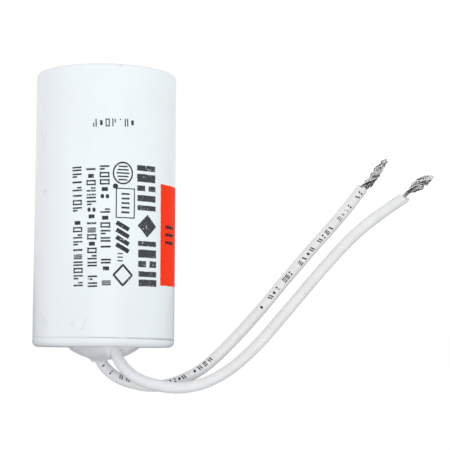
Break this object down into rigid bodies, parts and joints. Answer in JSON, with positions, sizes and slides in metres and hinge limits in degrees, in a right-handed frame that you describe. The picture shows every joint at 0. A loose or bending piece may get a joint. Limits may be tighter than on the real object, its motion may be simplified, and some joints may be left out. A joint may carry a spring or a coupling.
{
  "type": "motor run capacitor",
  "caption": "White cylindrical motor run capacitor with a flanged lid and white wire leads with bare twisted ends.",
  "frame": {"origin": "centre of the closed end that the cup stands on", "axes": "+Z along the cup's axis towards the lid and the leads, -X to the side that the leads hang down on, -Y to the printed front"},
  "size_m": [0.1003, 0.035, 0.0791],
  "materials": {
    "cup_plastic": "smooth moulded white plastic, slightly glossy, with light scuffs",
    "lid_plastic": "smooth moulded white plastic, slightly glossy",
    "resin": "cast resin, pale grey, satin and a little uneven",
    "metallised_film": "tightly wound metallised film",
    "wrap_film": "clear yellowish film, glossy",
    "core_plastic": "extruded natural plastic tube",
    "sprayed_zinc": "rough sprayed zinc",
    "solder": "solder, bright and smooth",
    "lead_insulation": "white PVC insulation, satin, with small dark marks along one lead",
    "tinned_copper": "tinned copper strands, bright where bent"
  },
  "bodies": {
    "root": {"case_cup": "cup_plastic", "lid": "lid_plastic", "potting_resin": "resin", "film_winding": "metallised_film", "winding_wrap": "wrap_film", "core_tube": "core_plastic", "end_spray_top": "sprayed_zinc", "end_spray_bottom": "sprayed_zinc", "solder_joint_top": "solder", "solder_joint_bottom": "solder", "lead_a": "lead_insulation", "lead_b": "lead_insulation", "inner_tail_a": "tinned_copper", "inner_tail_b": "tinned_copper", "bare_strands_a": "tinned_copper", "bare_strands_b": "tinned_copper"}
  },
  "joints": []
}
